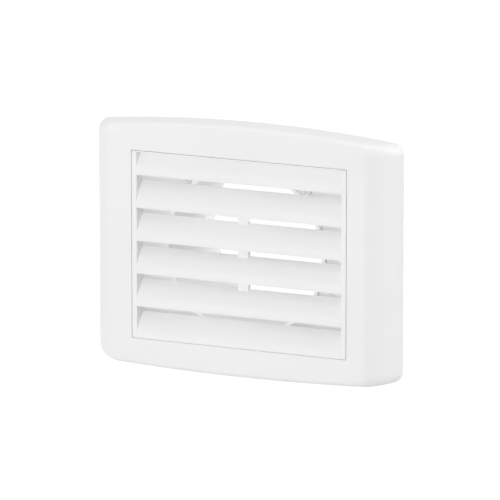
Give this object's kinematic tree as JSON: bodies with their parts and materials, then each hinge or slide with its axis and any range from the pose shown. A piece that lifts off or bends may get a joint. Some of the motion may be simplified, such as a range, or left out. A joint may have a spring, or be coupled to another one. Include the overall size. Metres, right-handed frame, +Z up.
{
  "type": "supply air valve",
  "caption": "Wall air valve: rounded cover with a pull-out louvre insert, on a plate whose round spigot holds a butterfly damper.",
  "frame": {"origin": "on the duct axis, in the wall plane that the foam gasket and the spigot's flange rest on", "axes": "+Y into the duct, +Z up, +X to the right seen from the room; the room is at -Y"},
  "size_m": [0.1906, 0.1054, 0.1473],
  "materials": {
    "cover_plastic": "fine satin, moulded",
    "insert_plastic": "fine satin, moulded",
    "plate_plastic": "satin, moulded",
    "bush_plastic": "natural, self-lubricating plastic",
    "gasket_foam": "closed-cell foam",
    "seal_rubber": "matt rubber",
    "screw_steel": "zinc plated",
    "spindle_steel": "drawn bar",
    "screw_lacquer": "white lacquered heads, for the screws that show through the louvres"
  },
  "bodies": {
    "housing": {"front_cover": "cover_plastic", "base_plate": "plate_plastic", "wall_gasket": "gasket_foam", "duct_spigot": "plate_plastic", "spigot_flange": "plate_plastic", "spigot_screws": "screw_lacquer", "spigot_seal": "seal_rubber", "spindle_bushes": "bush_plastic", "friction_washers": "bush_plastic"},
    "damper": {"damper_flap": "plate_plastic", "damper_spindle": "spindle_steel", "flap_seal": "seal_rubber", "flap_screws": "screw_steel"},
    "insert": {"insert_frame": "insert_plastic", "louvre_1": "insert_plastic", "louvre_2": "insert_plastic", "louvre_3": "insert_plastic", "louvre_4": "insert_plastic", "louvre_5": "insert_plastic", "louvre_6": "insert_plastic", "louvre_comb": "insert_plastic"}
  },
  "joints": [
    {"name": "damper_turn", "type": "hinge", "parent": "housing", "child": "damper", "pos_m": [0, 0.041, 0], "axis": [1, 0, 0], "range_deg": [-76, 14]},
    {"name": "insert_pull", "type": "slide", "parent": "housing", "child": "insert", "axis": [0, -1, 0], "range_m": [0, 0.03]}
  ]
}
